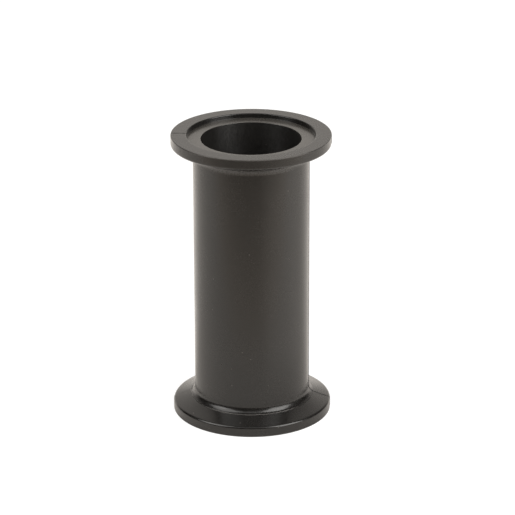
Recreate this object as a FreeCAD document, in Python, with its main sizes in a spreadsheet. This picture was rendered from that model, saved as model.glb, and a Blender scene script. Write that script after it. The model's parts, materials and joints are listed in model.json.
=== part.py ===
"""A short length of flanged pipe, moulded in one piece in black plastic.

The pipe carries the same clamp flange at both ends. Each flange has a flat end face with a stepped
recess that centres a gasket round the bore, a plain cylindrical rim, and a conical back on which a
V-section clamp pulls two such flanges together. A fine step parts the cone, which the clamp touches,
from the steeper shoulder that a fillet runs into the pipe. Inside, the bore is clear from end to end.

The +Z axis runs along the bore, and the origin is at the centre of the lower end face, on which the
part stands. Lengths are in millimetres and angles in degrees.
"""
import FreeCAD, Part
import math
import os
import Sketcher

NODE = "flanged_pipe"

# Driving sizes: name, value and meaning. All the others follow from these.
SIZES = {
    "overall_length": (152.4, "from end face to end face, nominally 6 in"),
    "bore_diameter": (52.0, "clear bore, nominally 2 in"),
    "wall_thickness": (4.16, "pipe wall between the flanges"),
    "flange_overhang": (11.4, "how far a flange stands out from the pipe wall"),
    "rim_thickness": (5.3, "from the end face to the corner of rim and clamp cone"),
    "clamp_angle": (20.0, "slope of the clamp cone against the end face"),
    "clamp_edge_radius": (1.3, "rounding of the corner of rim and clamp cone"),
    "shoulder_step": (0.12, "height of the step from the clamp cone up to the shoulder"),
    "shoulder_angle": (25.0, "slope of the shoulder against the end face"),
    "shoulder_land": (0.1, "width of the shoulder outside the root fillet"),
    "root_radius": (4.0, "fillet between the shoulder and the pipe wall"),
    "gasket_seat_width": (7.4, "from the bore to the wall of the gasket recess"),
    "gasket_seat_depth": (2.35, "from the end face to the floor of the gasket recess"),
    "gasket_mouth_break": (0.5, "edge break at the mouth of the gasket recess"),
    "bore_mouth_break": (0.3, "edge break at each mouth of the bore"),
    "rim_edge_break": (0.2, "edge break where an end face meets the rim"),
}

# Sizes that follow from the driving ones, as expressions on the sheet.
HALF_LENGTH = "sizes.overall_length / 2"
BORE_RADIUS = "sizes.bore_diameter / 2"
WALL_RADIUS = f"({BORE_RADIUS} + sizes.wall_thickness)"
FLANGE_RADIUS = f"({WALL_RADIUS} + sizes.flange_overhang)"
SEAT_RADIUS = f"({BORE_RADIUS} + sizes.gasket_seat_width)"
SLOPE = "tan(sizes.clamp_angle * 1 deg)"

# The root fillet turns the shoulder up into the wall. It reaches this far out, and the land follows.
ROOT_TURN = "(90 - sizes.shoulder_angle)"
ROOT_REACH = f"sizes.root_radius * tan({ROOT_TURN} / 2 * 1 deg) * sin({ROOT_TURN} * 1 deg)"
SHOULDER_WIDTH = f"({ROOT_REACH} + sizes.shoulder_land)"
SHOULDER_RADIUS = f"({WALL_RADIUS} + {SHOULDER_WIDTH})"

# Heights above the end face: the foot of the shoulder's step, its top, and the shoulder at the wall.
STEP_FOOT = f"(sizes.rim_thickness + ({FLANGE_RADIUS} - {SHOULDER_RADIUS}) * {SLOPE})"
STEP_TOP = f"({STEP_FOOT} + sizes.shoulder_step)"
ROOT_HEIGHT = f"({STEP_TOP} + {SHOULDER_WIDTH} * tan(sizes.shoulder_angle * 1 deg))"

EDGE_TOLERANCE = 1e-4


def make_sheet(doc):
    """The driving sizes, one to a row: the name, the value under that alias, and the meaning."""
    sheet = doc.addObject("Spreadsheet::Sheet", "sizes")
    for row, (name, (value, meaning)) in enumerate(SIZES.items(), start=1):
        sheet.set(f"A{row}", name)
        sheet.set(f"B{row}", str(value))
        sheet.setAlias(f"B{row}", name)
        sheet.set(f"C{row}", meaning)
    doc.recompute()


def origin_plane(body, role):
    """One of the body's own origin planes, found by its role."""
    return next(feature for feature in body.Origin.OriginFeatures if feature.Role == role)


def new_section(body, name):
    """An empty sketch on the body's XZ plane, where X is the radius and Y the height."""
    sketch = body.newObject("Sketcher::SketchObject", name)
    sketch.AttachmentSupport = (origin_plane(body, "XZ_Plane"), [""])
    sketch.MapMode = "FlatFace"
    return sketch


def value_of(owner, expression):
    """What an expression on the sheet comes to."""
    return float(owner.evalExpression(expression))


def closed_outline(sketch, corners):
    """Lines from corner to corner and back to the first, joined; corners are pairs of expressions."""
    points = [FreeCAD.Vector(value_of(sketch, x), value_of(sketch, y), 0) for x, y in corners]
    lines = []
    for here, there in zip(points, points[1:] + points[:1]):
        lines.append(sketch.addGeometry(Part.LineSegment(here, there), False))
    for line, following in zip(lines, lines[1:] + lines[:1]):
        sketch.addConstraint(Sketcher.Constraint("Coincident", line, 2, following, 1))
    return lines


def square_up(sketch, horizontal, vertical):
    """Keeps the first lines at right angles to the bore, and the others along it."""
    for line in horizontal:
        sketch.addConstraint(Sketcher.Constraint("Horizontal", line))
    for line in vertical:
        sketch.addConstraint(Sketcher.Constraint("Vertical", line))


def drive(sketch, name, expression, kind, *where):
    """A named dimension of the sketch, tied to the sheet by its expression."""
    start = value_of(sketch, expression)
    if kind == "Angle":
        start = math.radians(start)
    index = sketch.addConstraint(Sketcher.Constraint(kind, *where, start))
    sketch.renameConstraint(index, name)
    sketch.setExpression(f"Constraints.{name}", expression)


def round_corner(sketch, line, name):
    """Rounds the corner at the end of a line to the radius of this name on the sheet."""
    arc = sketch.GeometryCount
    sketch.fillet(line, 2, value_of(sketch, f"sizes.{name}"), 1, True)
    drive(sketch, name, f"sizes.{name}", "Radius", arc)


def turn(doc, body, kind, name, sketch):
    """The section turned once round the bore axis: a Revolution adds, and a Groove cuts."""
    feature = body.newObject(f"PartDesign::{kind}", name)
    feature.Profile = sketch
    feature.ReferenceAxis = (sketch, ["V_Axis"])
    feature.Angle = 360
    sketch.Visibility = False
    doc.recompute()


def make_half_pipe(doc, body):
    """The lower half of the pipe with its flange, up to the middle of the length."""
    sketch = new_section(body, "half_section")
    face, rim, cone, step, shoulder, wall, middle, bore = closed_outline(
        sketch,
        [
            (BORE_RADIUS, "0"),
            (FLANGE_RADIUS, "0"),
            (FLANGE_RADIUS, "sizes.rim_thickness"),
            (SHOULDER_RADIUS, STEP_FOOT),
            (SHOULDER_RADIUS, STEP_TOP),
            (WALL_RADIUS, ROOT_HEIGHT),
            (WALL_RADIUS, HALF_LENGTH),
            (BORE_RADIUS, HALF_LENGTH),
        ],
    )
    square_up(sketch, horizontal=[face, middle], vertical=[rim, step, wall, bore])
    sketch.addConstraint(Sketcher.Constraint("PointOnObject", face, 1, -1))
    drive(sketch, "bore_radius", BORE_RADIUS, "DistanceX", -1, 1, face, 1)
    drive(sketch, "flange_radius", FLANGE_RADIUS, "DistanceX", -1, 1, face, 2)
    drive(sketch, "rim_thickness", "sizes.rim_thickness", "DistanceY", rim, 1, rim, 2)
    drive(sketch, "cone_direction", "180 - sizes.clamp_angle", "Angle", cone)
    drive(sketch, "shoulder_direction", "180 - sizes.shoulder_angle", "Angle", shoulder)
    drive(sketch, "shoulder_radius", SHOULDER_RADIUS, "DistanceX", -1, 1, step, 1)
    drive(sketch, "shoulder_step", "sizes.shoulder_step", "DistanceY", step, 1, step, 2)
    drive(sketch, "wall_radius", WALL_RADIUS, "DistanceX", -1, 1, wall, 2)
    drive(sketch, "half_length", HALF_LENGTH, "DistanceY", -1, 1, wall, 2)
    round_corner(sketch, rim, "clamp_edge_radius")
    round_corner(sketch, shoulder, "root_radius")
    turn(doc, body, "Revolution", "half_pipe", sketch)


def make_gasket_seat(doc, body):
    """The stepped recess in the end face, cut from the bore axis out to the wall of the seat."""
    uncut_volume = body.Tip.Shape.Volume
    sketch = new_section(body, "seat_section")
    face, wall, floor, axis = closed_outline(
        sketch,
        [
            ("0", "0"),
            (SEAT_RADIUS, "0"),
            (SEAT_RADIUS, "sizes.gasket_seat_depth"),
            ("0", "sizes.gasket_seat_depth"),
        ],
    )
    square_up(sketch, horizontal=[face, floor], vertical=[wall, axis])
    sketch.addConstraint(Sketcher.Constraint("Coincident", face, 1, -1, 1))
    drive(sketch, "seat_radius", SEAT_RADIUS, "DistanceX", -1, 1, face, 2)
    drive(sketch, "seat_depth", "sizes.gasket_seat_depth", "DistanceY", wall, 1, wall, 2)
    turn(doc, body, "Groove", "gasket_seat", sketch)
    if body.Tip.Shape.Volume >= uncut_volume:
        raise ValueError("the gasket seat cut nothing from the flange")


def ring_edge(body, radius, height):
    """The circular edge round the bore axis with this radius and height, as expressions."""
    wanted_radius = value_of(body, radius)
    wanted_centre = FreeCAD.Vector(0, 0, value_of(body, height))
    for number, edge in enumerate(body.Tip.Shape.Edges, start=1):
        if not isinstance(edge.Curve, Part.Circle):
            continue
        if (edge.Curve.Center - wanted_centre).Length > EDGE_TOLERANCE:
            continue
        if abs(edge.Curve.Radius - wanted_radius) < EDGE_TOLERANCE:
            return f"Edge{number}"
    raise ValueError(f"no ring edge at radius {wanted_radius} and height {wanted_centre.z}")


def break_edge(doc, body, name, radius, height):
    """Takes the sharpness off one ring edge, by the break of this name on the sheet."""
    edge = ring_edge(body, radius, height)
    base = body.Tip
    chamfer = body.newObject("PartDesign::Chamfer", name)
    chamfer.Base = (base, [edge])
    chamfer.setExpression("Size", f"sizes.{name}")
    doc.recompute()


def mirror_to_other_end(body):
    """The upper half, as a mirror image of the whole lower half."""
    middle = body.newObject("PartDesign::Plane", "middle_plane")
    middle.AttachmentSupport = (origin_plane(body, "XY_Plane"), [""])
    middle.MapMode = "FlatFace"
    middle.setExpression("AttachmentOffset.Base.z", HALF_LENGTH)
    mirrored = body.newObject("PartDesign::Mirrored", "other_end")
    mirrored.TransformMode = "Whole shape"
    mirrored.MirrorPlane = (middle, [""])
    mirrored.Refine = True
    body.Tip = mirrored


def make_flanged_pipe(doc):
    """The moulding: its lower half, feature by feature, and then the mirror image."""
    body = doc.addObject("PartDesign::Body", NODE)
    body.Label = NODE
    body.Placement = FreeCAD.Placement()
    make_half_pipe(doc, body)
    make_gasket_seat(doc, body)
    break_edge(doc, body, "bore_mouth_break", BORE_RADIUS, "sizes.gasket_seat_depth")
    break_edge(doc, body, "gasket_mouth_break", SEAT_RADIUS, "0")
    break_edge(doc, body, "rim_edge_break", FLANGE_RADIUS, "0")
    mirror_to_other_end(body)
    return body


def check(doc, bodies):
    """Stops before anything is written if a feature failed or a piece isn't one sound solid."""
    for item in doc.Objects:
        if {"Invalid", "Error"} & set(item.State):
            raise ValueError(f"{item.Name} failed: {item.getStatusString()}")
    for body in bodies:
        if body.Shape.isNull() or not body.Shape.isValid() or len(body.Shape.Solids) != 1:
            raise ValueError(f"{body.Label} is not one valid solid")


doc = FreeCAD.newDocument("flanged_pipe_model")
make_sheet(doc)
bodies = [make_flanged_pipe(doc)]
doc.recompute()
check(doc, bodies)
os.makedirs("parts", exist_ok=True)
for body in bodies:
    body.Shape.exportStep(f"parts/{body.Label}.step")
    print(f"{body.Label}: {body.Shape.Volume:.0f} mm3, {len(body.Shape.Faces)} faces")
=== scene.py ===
import json
import math

import bpy
from mathutils import Matrix, Vector


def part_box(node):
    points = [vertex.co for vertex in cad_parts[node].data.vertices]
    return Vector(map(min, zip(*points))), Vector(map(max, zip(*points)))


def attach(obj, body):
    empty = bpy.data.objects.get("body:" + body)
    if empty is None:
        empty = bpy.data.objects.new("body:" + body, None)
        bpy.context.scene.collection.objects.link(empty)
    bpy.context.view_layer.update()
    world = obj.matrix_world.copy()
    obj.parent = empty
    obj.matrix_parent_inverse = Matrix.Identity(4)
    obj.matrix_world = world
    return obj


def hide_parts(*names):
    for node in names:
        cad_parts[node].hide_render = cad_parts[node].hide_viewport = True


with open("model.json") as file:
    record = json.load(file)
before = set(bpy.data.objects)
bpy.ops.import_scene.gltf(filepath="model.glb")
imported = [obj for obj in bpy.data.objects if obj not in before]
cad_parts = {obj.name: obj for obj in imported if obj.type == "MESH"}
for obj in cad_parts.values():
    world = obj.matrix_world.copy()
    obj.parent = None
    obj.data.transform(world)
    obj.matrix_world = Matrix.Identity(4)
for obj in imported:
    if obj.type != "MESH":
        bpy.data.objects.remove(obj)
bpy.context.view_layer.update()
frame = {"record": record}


# The moulding. One piece of black glass-filled plastic, shot between two mould halves that meet in a
# plane through the bore axis, round a steel core that forms the bore and the two gasket seats. Where
# the halves meet, a fine witness line and a slight step are left down both sides.

low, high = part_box("flanged_pipe")
mounts = {mount["name"]: mount for mount in frame["record"]["mounts"]}
length = high[2] - low[2]
flange_radius = (high[0] - low[0]) / 2
bore_radius = mounts["bore"]["dims"]["r_mm"] / 1000
seat_radius = mounts["upper_gasket_seat"]["dims"]["r_mm"] / 1000
seat_depth = 0.00235
wall_radius = 0.03016
rim_thickness = 0.0053
clamp_slope = math.tan(math.radians(20))
shoulder_slope = math.tan(math.radians(25))
shoulder_radius = wall_radius + 0.00241
shoulder_step = 0.00008
cone_middle = 0.0358
cone_sink = 0.00012

mouth_rounding = 0.0003
seat_mouth_rounding = 0.0006
face_edge_rounding = 0.00035
clamp_edge_rounding = 0.00145
cone_rounding = 0.1
root_rounding = 0.004
fine_rounding = 0.00015
upper_crease_rounding = 0.0004

# The cone has drawn in a little as the thick flange cooled, so it is hollow towards its root.
cone_height = rim_thickness + (flange_radius - cone_middle) * clamp_slope - cone_sink
shoulder_foot = rim_thickness + (flange_radius - shoulder_radius) * clamp_slope
shoulder_top = shoulder_foot + shoulder_step
root_height = shoulder_top + (shoulder_radius - wall_radius) * shoulder_slope


def flange_corners(shoulder):
    """Corners of a flange, from the bore out over its end face and back to the pipe wall: radius,
    height, how much the corner is rounded, and how far handling has dulled it (below 0: polished); on
    the front, a dulled corner is also painted paler, a painted highlight."""
    return [
        (bore_radius, seat_depth, mouth_rounding, 0.0),
        (seat_radius, seat_depth, fine_rounding, 0.0),
        (seat_radius, 0, seat_mouth_rounding, 0.0),
        (flange_radius, 0, face_edge_rounding, 0.3),
        (flange_radius, rim_thickness, clamp_edge_rounding, -0.05),
        (cone_middle, cone_height, cone_rounding, 0.0),
        *shoulder,
    ]


# The lower shoulder's top edge is dulled the most, so it carries the strongest painted highlight on
# the front.
lower_corners = flange_corners([
    (shoulder_radius, shoulder_foot, fine_rounding / 3, 0.0),
    (shoulder_radius, shoulder_top, fine_rounding, 1.0),
    (wall_radius, root_height, root_rounding, 0.0),
])
# The upper flange's shoulder meets the cone in a plain crease. On the front, the crease and the fillet
# below it are painted paler, as painted light under the rim.
upper_corners = flange_corners([
    (shoulder_radius, shoulder_top, upper_crease_rounding, 0.3),
    (wall_radius, root_height, root_rounding, 0.14),
])
upper_corners = [
    (radius, length - height, rounding, wear_and_sheen)
    for radius, height, rounding, wear_and_sheen in reversed(upper_corners)
]


def with_flats_held(corners, hold=0.0003, degrees_per_step=7, fewest_steps=3):
    """Adds a point on each flat just beyond every rounding, so that the flats stay flat in shading."""
    points = []
    for index, (radius, height, rounding, wear_and_sheen) in enumerate(corners):
        before = corners[index - 1]
        after = corners[(index + 1) % len(corners)]
        into = Vector((radius - before[0], height - before[1]))
        out = Vector((after[0] - radius, after[1] - height))
        turn = into.angle(out)
        reach = rounding * math.tan(turn / 2) + hold
        if into.length > 4 * hold + reach:
            held = Vector((radius, height)) - into.normalized() * reach
            points.append((held.x, held.y, 0, 0, 0))
        steps = max(fewest_steps, round(math.degrees(turn) / degrees_per_step))
        points.append((radius, height, rounding, steps, wear_and_sheen))
        if out.length > 4 * hold + reach:
            held = Vector((radius, height)) + out.normalized() * reach
            points.append((held.x, held.y, 0, 0, 0))
    return points


def half_section(name, points):
    """The closed section as a ring of edges, laid out from the bore wall and the lower end face."""
    mesh = bpy.data.meshes.new(name)
    count = len(points)
    ring = [(index, (index + 1) % count) for index in range(count)]
    outline = [(radius - bore_radius, -height, 0) for radius, height, *_ in points]
    mesh.from_pydata(outline, ring, [])
    columns = {"rounding": "FLOAT", "steps": "INT", "wear_and_sheen": "FLOAT"}
    for column, (label, kind) in enumerate(columns.items(), start=2):
        attribute = mesh.attributes.new(label, kind, "POINT")
        attribute.data.foreach_set("value", [point[column] for point in points])
    return mesh


class NodeBench:
    """Writes a node tree as nested expressions: each call adds one node and gives its output."""

    def __init__(self, tree):
        self.tree = tree

    def node(self, kind, inputs=None, output=0, **settings):
        node = self.tree.nodes.new(kind)
        for name, value in settings.items():
            setattr(node, name, value)
        for name, value in (inputs or {}).items():
            if isinstance(value, bpy.types.NodeSocket):
                self.tree.links.new(value, node.inputs[name])
            else:
                node.inputs[name].default_value = value
        return node.outputs[output]

    def end(self, kind, name, value):
        self.tree.links.new(value, self.tree.nodes.new(kind).inputs[name])

    def calc(self, operation, first, second=0.0):
        return self.node("ShaderNodeMath", {0: first, 1: second}, operation=operation)

    def sum(self, *terms):
        total = terms[0]
        for term in terms[1:]:
            total = self.calc("ADD", total, term)
        return total

    def product(self, *factors):
        total = factors[0]
        for factor in factors[1:]:
            total = self.calc("MULTIPLY", total, factor)
        return total

    def less(self, first, second):
        return self.calc("SUBTRACT", first, second)

    def blend(self, value, start, end, low=0.0, high=1.0):
        """Runs smoothly from low to high while the value runs from start to end."""
        span = {"Value": value, "From Min": start, "From Max": end, "To Min": low, "To Max": high}
        return self.node("ShaderNodeMapRange", span, interpolation_type="SMOOTHSTEP")

    def tint(self, factor, first, second):
        """Goes from the first colour to the second as the factor goes from 0 to 1."""
        return self.node(
            "ShaderNodeMix", {"Factor": factor, 6: first, 7: second}, 2, data_type="RGBA"
        )

    def noise(self, vector, scale, detail, roughness):
        settings = {"Vector": vector, "Scale": scale, "Detail": detail, "Roughness": roughness}
        return self.node("ShaderNodeTexNoise", settings)

    def part(self, vector, axis):
        return self.node("ShaderNodeSeparateXYZ", {"Vector": vector}, axis)

    def times(self, vector, factors):
        return self.node("ShaderNodeVectorMath", {0: vector, 1: factors}, operation="MULTIPLY")

    def scaled(self, vector, scale):
        return self.node(
            "ShaderNodeVectorMath", {"Vector": vector, "Scale": scale}, operation="SCALE"
        )

    def length(self, vector):
        return self.node("ShaderNodeVectorMath", {0: vector}, "Value", operation="LENGTH")

    def dot(self, first, second):
        return self.node(
            "ShaderNodeVectorMath", {0: first, 1: second}, "Value", operation="DOT_PRODUCT"
        )

    def level_radius(self, place):
        """Distance from the bore axis."""
        return self.length(self.times(place, (1.0, 1.0, 0.0)))


def moulding_tree(moulded, cored):
    """Rounds the section, sweeps it round the bore and sets the two halves a little out of line."""
    gathering = 0.97
    seat_margin = 0.0003
    face_margin = 0.0001
    surface_margin = 0.00003
    face_widening = 1.5

    tree = bpy.data.node_groups.new("moulding", "GeometryNodeTree")
    tree.interface.new_socket("Section", in_out="INPUT", socket_type="NodeSocketGeometry")
    for name in ("Bore radius", "Wall radius", "Rim radius", "Seat radius", "Seat depth", "Length",
                 "Parting angle", "Mismatch", "Witness height", "Witness width"):
        tree.interface.new_socket(name, in_out="INPUT", socket_type="NodeSocketFloat")
    tree.interface.new_socket("Steps round", in_out="INPUT", socket_type="NodeSocketInt")
    tree.interface.new_socket("Moulding", in_out="OUTPUT", socket_type="NodeSocketGeometry")
    bench = NodeBench(tree)
    given = tree.nodes.new("NodeGroupInput").outputs

    section = bench.node("GeometryNodeMeshToCurve", {"Mesh": given["Section"]})
    rounding = bench.node("GeometryNodeInputNamedAttribute", {"Name": "rounding"}, data_type="FLOAT")
    steps = bench.node("GeometryNodeInputNamedAttribute", {"Name": "steps"}, data_type="INT")
    section = bench.node(
        "GeometryNodeFilletCurve",
        {"Curve": section, "Count": steps, "Radius": rounding},
        mode="POLY",
    )

    # The path round the bore, with its points gathered at the two parting lines.
    path = bench.node(
        "GeometryNodeCurvePrimitiveCircle",
        {"Resolution": given["Steps round"], "Radius": given["Bore radius"]},
    )
    turn = bench.calc("DIVIDE", bench.node("GeometryNodeInputIndex"), given["Steps round"])
    gathered = bench.product(bench.calc("SINE", bench.product(turn, 4 * math.pi)), gathering / 2)
    angle = bench.less(bench.product(turn, 2 * math.pi), gathered)
    angle = bench.sum(angle, given["Parting angle"])
    on_circle = {
        "X": bench.product(bench.calc("COSINE", angle), given["Bore radius"]),
        "Y": bench.product(bench.calc("SINE", angle), given["Bore radius"]),
    }
    on_circle = bench.node("ShaderNodeCombineXYZ", on_circle)
    path = bench.node("GeometryNodeSetPosition", {"Geometry": path, "Position": on_circle})
    solid = bench.node("GeometryNodeCurveToMesh", {"Curve": path, "Profile Curve": section})

    # Distance behind the parting plane, and distance along it to the right of the bore axis.
    place = bench.node("GeometryNodeInputPosition")
    sine = bench.calc("SINE", given["Parting angle"])
    cosine = bench.calc("COSINE", given["Parting angle"])
    across = bench.node("ShaderNodeCombineXYZ", {"X": bench.product(sine, -1.0), "Y": cosine})
    along = bench.node("ShaderNodeCombineXYZ", {"X": cosine, "Y": sine})
    behind = bench.dot(place, across)
    rightward = bench.dot(place, along)

    # The core forms the bore and the seats, so the parting line stops at the edge of a seat.
    radius = bench.level_radius(place)
    middle = bench.product(given["Length"], 0.5)
    from_middle = bench.calc("ABSOLUTE", bench.less(bench.part(place, "Z"), middle))
    near_seat = bench.calc("LESS_THAN", radius, bench.sum(given["Seat radius"], seat_margin))
    seat_level = bench.less(bench.less(middle, given["Seat depth"]), seat_margin)
    in_seat = bench.product(near_seat, bench.calc("GREATER_THAN", from_middle, seat_level))
    outside = bench.calc("GREATER_THAN", radius, given["Wall radius"])
    by_halves = bench.product(outside, bench.less(1.0, in_seat))

    # The halves are out of line sideways: each stands back on the side that the other overhangs.
    on_face = bench.calc("GREATER_THAN", from_middle, bench.less(middle, face_margin))
    in_front = bench.blend(behind, start=surface_margin, end=-surface_margin)
    side = bench.calc("DIVIDE", rightward, radius)
    front_back = bench.product(in_front, bench.calc("MAXIMUM", side, 0.0))
    rear_side = bench.calc("MAXIMUM", bench.product(side, -1.0), 0.0)
    rear_back = bench.product(bench.less(1.0, in_front), rear_side)
    set_back = bench.product(bench.sum(front_back, rear_back), given["Mismatch"])
    set_back = bench.product(set_back, bench.less(1.0, on_face))

    # The witness is a fine ridge on the pipe and the cones, a fine groove round the trimmed rims, and
    # on the end faces a wider and deeper hairline that fades out on the right.
    width = bench.sum(1.0, bench.product(on_face, face_widening))
    width = bench.product(given["Witness width"], width)
    bell = bench.calc("DIVIDE", behind, width)
    bell = bench.calc("EXPONENT", bench.product(bell, bell, -1.0))
    trimmed = bench.calc("GREATER_THAN", radius, given["Rim radius"])
    grooved = bench.calc("MAXIMUM", on_face, trimmed)
    deeper = bench.blend(side, start=0.9, end=-0.9, low=-0.85, high=2.0)
    sense = bench.less(bench.less(1.0, bench.product(grooved, 2.0)), bench.product(on_face, deeper))
    ridge = bench.product(bell, sense, given["Witness height"])
    rise = bench.product(bench.less(ridge, set_back), by_halves)
    offset = bench.scaled(bench.node("GeometryNodeInputNormal"), rise)
    solid = bench.node("GeometryNodeSetPosition", {"Geometry": solid, "Offset": offset})

    solid = bench.node("GeometryNodeSetShadeSmooth", {"Geometry": solid})
    solid = bench.node("GeometryNodeRealizeInstances", {"Geometry": solid})
    solid = bench.node("GeometryNodeSetMaterial", {"Geometry": solid, "Material": moulded})
    bore_limit = bench.sum(given["Bore radius"], surface_margin)
    in_bore = bench.calc("LESS_THAN", bench.level_radius(place), bore_limit)
    solid = bench.node(
        "GeometryNodeSetMaterial", {"Geometry": solid, "Selection": in_bore, "Material": cored}
    )
    bench.end("NodeGroupOutput", "Moulding", solid)
    return tree


def grown(name, mesh, tree, sizes):
    """Runs the tree on the mesh and keeps the result as a plain mesh object at the origin."""
    seed = bpy.data.objects.new(name + "_section", mesh)
    bpy.context.scene.collection.objects.link(seed)
    modifier = seed.modifiers.new("build", "NODES")
    modifier.node_group = tree
    for socket in tree.interface.items_tree:
        if socket.in_out == "INPUT" and socket.name in sizes:
            modifier[socket.identifier] = sizes[socket.name]
    evaluated = seed.evaluated_get(bpy.context.evaluated_depsgraph_get())
    result = bpy.data.meshes.new_from_object(evaluated)
    result.name = name
    seed.modifiers.remove(modifier)
    bpy.data.objects.remove(seed)
    piece = bpy.data.objects.new(name, result)
    bpy.context.scene.collection.objects.link(piece)
    return piece


# The plastic's colours, and the two finishes: fineness and stretch of the grain, how far it darkens,
# roughens and lifts the surface, the roughness under it, how much lighter the whole colour is painted
# (in the bore, painted light), and how the turned core streaks the shine.
black = (0.0108, 0.0102, 0.0095)
# Painted light: the seat floors are painted paler than the rest, standing in for the light reflected
# into them.
seat_painted_light = (0.043, 0.040, 0.036, 1.0)
dust_grey = (0.13, 0.12, 0.11, 1.0)
# Painted highlight: the pale grey laid along the dulled corners on the front.
painted_sheen_grey = (0.19, 0.18, 0.17, 1.0)
outer_finish = {
    "fineness": 1500.0, "stretch": (1.0, 1.0, 1.0), "pits": 0.18, "spread": 0.05, "relief": 0.00001,
    "smooth": 0.2, "rough": 0.25, "tone": 1.0, "streak": 0.0, "streak_turn": 0.0,
}
# Painted light: the bore's colour is painted a tenth lighter through its tone.
bore_finish = {
    "fineness": 1700.0, "stretch": (0.7, 0.7, 1.0), "pits": 0.28, "spread": 0.09, "relief": 0.00005,
    "smooth": 0.37, "rough": 0.4, "tone": 1.1, "streak": 0.72, "streak_turn": 0.25,
}


def black_plastic(name, finish):
    """Satin black plastic, faintly grained, with pale dust on it. It is painted paler as a painted
    highlight where it is dulled, and painted paler as painted light on the seat floors.
    """
    material = bpy.data.materials.new(name)
    material.use_nodes = True
    material.node_tree.nodes.clear()
    bench = NodeBench(material.node_tree)
    place = bench.node("ShaderNodeTexCoord", output="Object")
    radius = bench.level_radius(place)

    # Dulled along the corners that are handled, on the front, and painted paler there as a painted
    # highlight. The seat floors are painted paler than the rest, as painted light.
    wear_and_sheen = bench.node(
        "ShaderNodeAttribute", output="Fac", attribute_type="GEOMETRY", attribute_name="wear_and_sheen"
    )
    forward = bench.calc("DIVIDE", bench.part(place, "Y"), radius)
    in_front = bench.blend(forward, start=-0.55, end=-0.85)
    dulled_and_sheen = bench.product(bench.calc("MAXIMUM", wear_and_sheen, 0.0), in_front)
    polished = bench.calc("MINIMUM", wear_and_sheen, 0.0)
    from_middle = bench.calc("ABSOLUTE", bench.less(bench.part(place, "Z"), length / 2))
    seat_level = length / 2 - seat_depth
    depth_margin, side_margin = 0.0003, 0.0002
    near_end = bench.blend(from_middle, start=seat_level - depth_margin, end=seat_level)
    within_wall = bench.calc("LESS_THAN", radius, seat_radius - side_margin)
    in_seat = bench.product(near_end, within_wall)

    # The skin: a slow clouding left by the flow of the melt, a faint ripple, and the mould's grain,
    # which in the bore is pitted and drawn out a little round it.
    cloud = bench.noise(place, scale=45.0, detail=3.0, roughness=0.6)
    ripple = bench.noise(place, scale=260.0, detail=2.0, roughness=0.5)
    stretched = bench.times(place, finish["stretch"])
    grain = bench.noise(stretched, scale=finish["fineness"], detail=2.0, roughness=0.6)

    # Dust: specks and short fibres, each a small ball or thread about a random point.
    specks = bench.node("ShaderNodeTexVoronoi", {"Vector": place, "Scale": 200.0}, "Distance")
    speck_draw = bench.node("ShaderNodeTexVoronoi", {"Vector": place, "Scale": 200.0}, "Color")
    speck_draw = bench.node("ShaderNodeSeparateColor", {"Color": speck_draw}, "Red")
    speck_size = bench.blend(speck_draw, start=0.1, end=1.0, low=0.02, high=0.045)
    speck = bench.calc("LESS_THAN", specks, speck_size)
    leaning = bench.node(
        "ShaderNodeMapping",
        {"Vector": place, "Rotation": (0.5, 0.3, 0.2), "Scale": (1.0, 1.0, 0.22)},
    )
    fibres = bench.node("ShaderNodeTexVoronoi", {"Vector": leaning, "Scale": 150.0}, "Distance")
    fibre_size = 0.022
    fibre = bench.calc("LESS_THAN", fibres, fibre_size)
    dust = bench.calc("MAXIMUM", speck, fibre)

    swing = {"start": 0.3, "end": 0.7}
    by_cloud = bench.blend(cloud, **swing, low=finish["smooth"], high=finish["rough"])
    by_grain = bench.blend(grain, **swing, low=-finish["spread"], high=finish["spread"])
    by_dust, by_dulling, by_polish = 0.3, 0.45, 0.5
    roughness = bench.sum(
        by_cloud,
        by_grain,
        bench.product(dust, by_dust),
        bench.product(dulled_and_sheen, by_dulling),
        bench.product(polished, by_polish),
    )
    shade = bench.sum(
        bench.blend(cloud, **swing, low=0.92, high=1.08),
        bench.blend(grain, **swing, low=-finish["pits"], high=finish["pits"]),
    )
    colour = bench.scaled(black, bench.product(shade, finish["tone"]))
    # Painted light: the seat floors take the paler grey.
    colour = bench.tint(in_seat, colour, seat_painted_light)
    colour = bench.tint(dust, colour, dust_grey)
    # Painted highlight: the dulled corners on the front are painted towards pale grey.
    painted_sheen_share = 0.8
    colour = bench.tint(bench.product(dulled_and_sheen, painted_sheen_share), colour, painted_sheen_grey)
    normal = bench.node("ShaderNodeBump", {"Height": ripple, "Strength": 0.25, "Distance": 0.00003})
    relief = {"Height": grain, "Strength": 0.5, "Distance": finish["relief"], "Normal": normal}
    shader = bench.node(
        "ShaderNodeBsdfPrincipled",
        {
            "Base Color": colour,
            "Roughness": roughness,
            "Normal": bench.node("ShaderNodeBump", relief),
            "IOR": 1.5,
            "Anisotropic": finish["streak"],
            "Anisotropic Rotation": finish["streak_turn"],
        },
    )
    bench.end("ShaderNodeOutputMaterial", "Surface", shader)
    return material


moulded = black_plastic("black_moulded_plastic", outer_finish)
cored = black_plastic("black_bored_plastic", bore_finish)
# The tree tests surfaces against the wall and rim radii, so both are given a little small.
sizes = {
    "Bore radius": bore_radius,
    "Wall radius": wall_radius - 0.001,
    "Rim radius": flange_radius - 0.0021,
    "Seat radius": seat_radius,
    "Seat depth": seat_depth,
    "Length": length,
    "Parting angle": math.radians(-2.0),
    "Mismatch": 0.00018,
    "Witness height": 0.00005,
    "Witness width": 0.00012,
    "Steps round": 320,
}
# The section's order turns with the sweep, so that the faces point outwards.
section = half_section("half_section", with_flats_held(lower_corners + upper_corners)[::-1])
moulding = grown("flanged_pipe_moulding", section, moulding_tree(moulded, cored), sizes)
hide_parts("flanged_pipe")
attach(moulding, "root")


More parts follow.
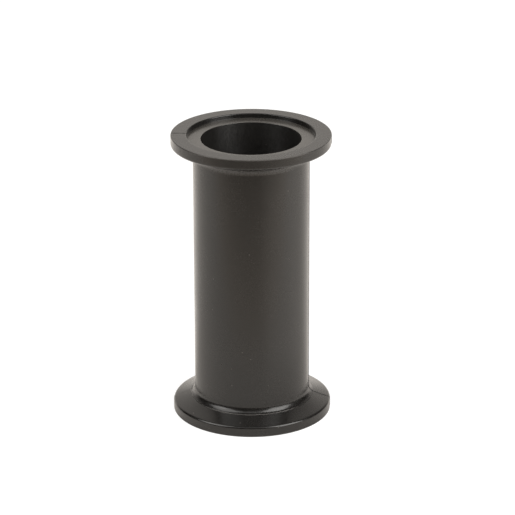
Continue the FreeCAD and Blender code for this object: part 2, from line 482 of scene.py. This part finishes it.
# The floor: a sheet of white paper, wide enough to fill the view from any side. The object's shadow
# falls on it, and as a painted glow unseen by the camera it throws back light from the backdrop behind
# and from the side to the right. Towards the front its colour is painted darker, a painted shade. It
# is nearly white to the camera, and warm in what it throws onto the object.

warm_white = (1.0, 0.94, 0.87, 1.0)
pure_white = (1.0, 1.0, 1.0, 1.0)


def heading(azimuth, rise=0):
    """Direction at so many degrees to the right of straight in front, and so many above the level."""
    turn, lift = math.radians(azimuth), math.radians(rise)
    return (math.sin(turn) * math.cos(lift), -math.cos(turn) * math.cos(lift), math.sin(lift))


def cosine_of(degrees):
    return math.cos(math.radians(degrees))


floor_reach = 3.0
floor_corners = [
    (-floor_reach, -floor_reach, 0),
    (floor_reach, -floor_reach, 0),
    (floor_reach, floor_reach, 0),
    (-floor_reach, floor_reach, 0),
]
floor_mesh = bpy.data.meshes.new("floor")
floor_mesh.from_pydata(floor_corners, [], [(0, 1, 2, 3)])
floor = bpy.data.objects.new("floor", floor_mesh)
bpy.context.scene.collection.objects.link(floor)
paper = bpy.data.materials.new("white_paper")
paper.use_nodes = True
paper.node_tree.nodes.clear()
bench = NodeBench(paper.node_tree)
ray = paper.node_tree.nodes.new("ShaderNodeLightPath").outputs
unseen = bench.less(1.0, ray["Is Camera Ray"])
place = bench.node("ShaderNodeTexCoord", output="Object")
forward = bench.part(place, "Y")
# Painted shade: the paper is painted darker towards the front, as if that part of it lay in shadow.
tone = bench.blend(forward, start=-0.42, end=-0.12, low=0.37, high=0.78)
paper_warmth = bench.blend(forward, start=-0.08, end=-0.22, low=0.35, high=1.0)
paper_warmth = bench.product(unseen, paper_warmth)
green_loss, blue_loss = 0.1, 0.2
green = bench.product(tone, bench.less(1.0, bench.product(paper_warmth, green_loss)))
blue = bench.product(tone, bench.less(1.0, bench.product(paper_warmth, blue_loss)))
tone = bench.node("ShaderNodeCombineColor", {"Red": tone, "Green": green, "Blue": blue})
matt = bench.node("ShaderNodeBsdfDiffuse", {"Color": tone})
white = bench.node("ShaderNodeEmission", {"Color": pure_white, "Strength": 1.2})
white_share = 0.72
seen = bench.product(ray["Is Camera Ray"], white_share)
surface = bench.node("ShaderNodeMixShader", {0: seen, 1: matt, 2: white})

# Painted glow: the paper emits light, unseen by the camera, brighter behind and to the right as if lit
# from there.
outward = bench.node("ShaderNodeVectorMath", {0: place}, operation="NORMALIZE")
away = bench.length(place)
rearward = bench.dot(outward, heading(-160))
backlight = bench.node(
    "ShaderNodeMapRange", {"Value": rearward, "From Min": -1.0, "To Min": 0.0, "To Max": 0.335}
)
lobe = bench.blend(rearward, start=cosine_of(42), end=1.0, high=0.2)
sideward = bench.dot(outward, heading(62))
sidelight = bench.blend(sideward, start=cosine_of(50), end=cosine_of(10), high=0.3)
sidelight = bench.product(sidelight, bench.blend(away, start=0.06, end=0.13))
farther = bench.blend(away, start=0.4, end=1.0, low=1.0, high=1.7)
thrown = bench.product(bench.sum(backlight, lobe, sidelight), farther, unseen)
thrown = bench.node("ShaderNodeEmission", {"Color": warm_white, "Strength": thrown})
surface = bench.node("ShaderNodeAddShader", {0: surface, 1: thrown})
bench.end("ShaderNodeOutputMaterial", "Surface", surface)
floor_mesh.materials.append(paper)


# The light: a dark studio with a white backdrop behind the object and two faint glows above it, and
# four soft boxes: a large one high on each side, a small one lower on the left, and a small one high
# in front. Whatever the camera sees beyond the floor is plain white.

world = bpy.data.worlds.new("studio")
bpy.context.scene.world = world
world.use_nodes = True
world.node_tree.nodes.clear()
bench = NodeBench(world.node_tree)
ray = world.node_tree.nodes.new("ShaderNodeLightPath").outputs
direction = bench.node("ShaderNodeTexCoord", output="Generated")
direction = bench.node("ShaderNodeVectorMath", {0: direction}, operation="NORMALIZE")
upward = bench.part(direction, "Z")
rearward = bench.dot(direction, heading(-174, 11))
backdrop = bench.blend(rearward, start=cosine_of(54), end=cosine_of(26))
lowest, highest = (math.sin(math.radians(degrees)) for degrees in (4, 16))
low_down = bench.blend(upward, start=highest, end=lowest, low=0.88, high=1.5)
backdrop = bench.product(backdrop, low_down)
glow_rise = 56
for azimuth in (-156, 154):
    nearness = bench.dot(direction, heading(azimuth, glow_rise))
    glow = bench.blend(nearness, start=cosine_of(16), end=cosine_of(4), high=0.3)
    backdrop = bench.sum(backdrop, glow)
mirrored = bench.calc("MAXIMUM", ray["Is Glossy Ray"], ray["Is Transmission Ray"])
fill_strength = 0.35
fill = bench.product(bench.less(1.0, mirrored), fill_strength)
room = bench.sum(bench.product(backdrop, mirrored), fill)
strength = bench.node(
    "ShaderNodeMix", {"Factor": ray["Is Camera Ray"], 2: room, 3: 1.0}, data_type="FLOAT"
)
colour = bench.tint(ray["Is Camera Ray"], warm_white, pure_white)
background = bench.node("ShaderNodeBackground", {"Color": colour, "Strength": strength})
bench.end("ShaderNodeOutputWorld", "Surface", background)

lamp_white = (1.0, 0.98, 0.95)
lamp_distance = 2.2


def soft_box(name, azimuth, elevation, width, height, power):
    """A soft box that faces the middle of the object, turned and raised from straight in front."""
    lamp = bpy.data.lights.new(name, "AREA")
    lamp.shape = "RECTANGLE"
    lamp.size = width
    lamp.size_y = height
    lamp.energy = power
    lamp.color = lamp_white
    box = bpy.data.objects.new(name, lamp)
    x, y, z = heading(azimuth, elevation)
    box.location = (lamp_distance * x, lamp_distance * y, length / 2 + lamp_distance * z)
    box.rotation_euler = (math.radians(90 - elevation), 0, math.radians(azimuth))
    bpy.context.scene.collection.objects.link(box)


soft_box("left_soft_box", azimuth=-67, elevation=47, width=1.65, height=1.65, power=25.5)
soft_box("left_low_soft_box", azimuth=-66, elevation=28, width=0.8, height=0.8, power=5)
soft_box("right_soft_box", azimuth=59, elevation=38, width=1.55, height=2.0, power=53)
soft_box("front_soft_box", azimuth=0, elevation=61, width=0.8, height=0.9, power=2.4)


# The camera stands where the photograph was taken from: in front, a little above, with a long lens,
# and turned by a fraction of a degree about each of its axes.

camera_distance = 1.4823
camera_elevation = math.radians(21.474)
camera_yaw = math.radians(-0.1212)
camera_pitch = math.radians(0.2880)
camera_roll = math.radians(0.2029)
focal_pixels, picture_pixels = 2828.3, 515
camera_data = bpy.data.cameras.new("camera")
camera_data.sensor_width = 36.0
camera_data.lens = focal_pixels * 36.0 / picture_pixels
camera_data.clip_start = 0.05
camera = bpy.data.objects.new("camera", camera_data)
bpy.context.scene.collection.objects.link(camera)
forward = Vector((0, math.cos(camera_elevation), -math.sin(camera_elevation)))
right = Vector((1, 0, 0))
up = right.cross(forward)
yaw = Matrix.Rotation(camera_yaw, 3, up)
forward, right = yaw @ forward, yaw @ right
pitch = Matrix.Rotation(camera_pitch, 3, right)
forward, up = pitch @ forward, pitch @ up
roll = Matrix.Rotation(camera_roll, 3, forward)
right, up = roll @ right, roll @ up
camera.matrix_world = Matrix((
    (right.x, up.x, -forward.x, 0),
    (right.y, up.y, -forward.y, -camera_distance * math.cos(camera_elevation)),
    (right.z, up.z, -forward.z, length / 2 + camera_distance * math.sin(camera_elevation)),
    (0, 0, 0, 1),
))
bpy.context.scene.camera = camera
bpy.context.scene.view_settings.view_transform = "Standard"
